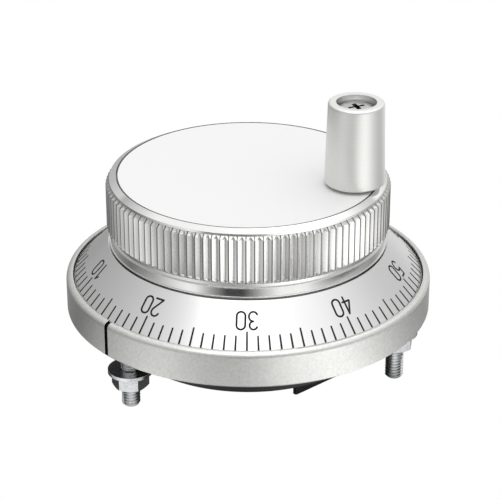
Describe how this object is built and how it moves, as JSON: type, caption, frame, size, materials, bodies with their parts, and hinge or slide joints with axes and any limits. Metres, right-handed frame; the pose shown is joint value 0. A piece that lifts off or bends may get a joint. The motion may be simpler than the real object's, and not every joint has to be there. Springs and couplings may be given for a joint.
{
  "type": "pulse generator handwheel",
  "caption": "Panel-mounted manual pulse generator: knurled handwheel with graduated dial and crank handle in a round bezel, with studs, terminal strip and rear cover.",
  "frame": {"origin": "centre of the bezel's rear face, which is the front face of the panel it mounts on, on the shaft's axis", "axes": "+Z along the shaft towards the operator, +Y towards the index mark, +X to the right of it"},
  "size_m": [0.08, 0.08, 0.063],
  "materials": {
    "satin_aluminium": "satin turned",
    "dial_aluminium": "fine turned with a conical sheen",
    "knurled_aluminium": "bright turned and knurled",
    "white_disc": "matte",
    "black_plastic": "moulded, fine grain",
    "steel": "zinc plated",
    "ground_steel": "ground and polished",
    "dark_steel": "blackened",
    "brass": "turned",
    "bronze": "sintered",
    "nylon": "moulded",
    "board": "solder mask",
    "magnet": "sintered ferrite",
    "handle_metal": "satin"
  },
  "bodies": {
    "base": {"bezel_ring": "satin_aluminium", "mounting_studs": "steel", "stud_nuts": "steel", "stud_washers": "steel", "bearing_plate": "satin_aluminium", "plate_screws": "steel", "detent_magnet": "magnet", "detent_stator": "steel", "front_outer_race": "ground_steel", "rear_outer_race": "ground_steel", "board_spacers": "brass", "circuit_board": "board", "board_screws": "steel", "sensor_housing": "black_plastic", "emitter": "nylon", "detector": "black_plastic", "signal_chip": "black_plastic", "rear_cover": "black_plastic", "cover_screws": "dark_steel", "terminal_block": "black_plastic", "terminal_plates": "steel", "terminal_screws": "steel", "terminal_pins": "brass"},
    "wheel": {"handwheel": "knurled_aluminium", "face_disc": "white_disc", "hub_screw": "steel", "dial_ring": "dial_aluminium", "dial_screws": "steel", "detent_ring": "steel", "shaft": "ground_steel", "front_inner_race": "ground_steel", "rear_inner_race": "ground_steel", "bearing_shim": "steel", "retaining_clip": "dark_steel", "disc_hub": "brass", "encoder_disc": "steel", "disc_washer": "steel", "disc_screw": "steel", "handle_base_washer": "steel", "handle_sleeve": "ground_steel", "handle_head_washer": "steel", "handle_screw": "steel"},
    "handle": {"crank_handle": "handle_metal", "handle_bush": "bronze"},
    "front_balls": {"front_bearing_balls": "ground_steel", "front_bearing_cage": "nylon"},
    "rear_balls": {"rear_bearing_balls": "ground_steel", "rear_bearing_cage": "nylon"}
  },
  "joints": [
    {"name": "wheel_spin", "type": "hinge", "parent": "base", "child": "wheel", "pos_m": [0, 0, 0], "axis": [0, 0, 1], "continuous": true},
    {"name": "handle_spin", "type": "hinge", "parent": "wheel", "child": "handle", "pos_m": [-0.01973, -0.01267, 0.0312], "axis": [0, 0, 1], "continuous": true},
    {"name": "front_balls_spin", "type": "hinge", "parent": "base", "child": "front_balls", "pos_m": [0, 0, 0.0133], "axis": [0, 0, 1], "continuous": true},
    {"name": "rear_balls_spin", "type": "hinge", "parent": "base", "child": "rear_balls", "pos_m": [0, 0, 0.0039], "axis": [0, 0, 1], "continuous": true}
  ],
  "couplings": [
    {"joint": "front_balls_spin", "follows": "wheel_spin", "ratio": 0.39474},
    {"joint": "rear_balls_spin", "follows": "wheel_spin", "ratio": 0.39474}
  ]
}
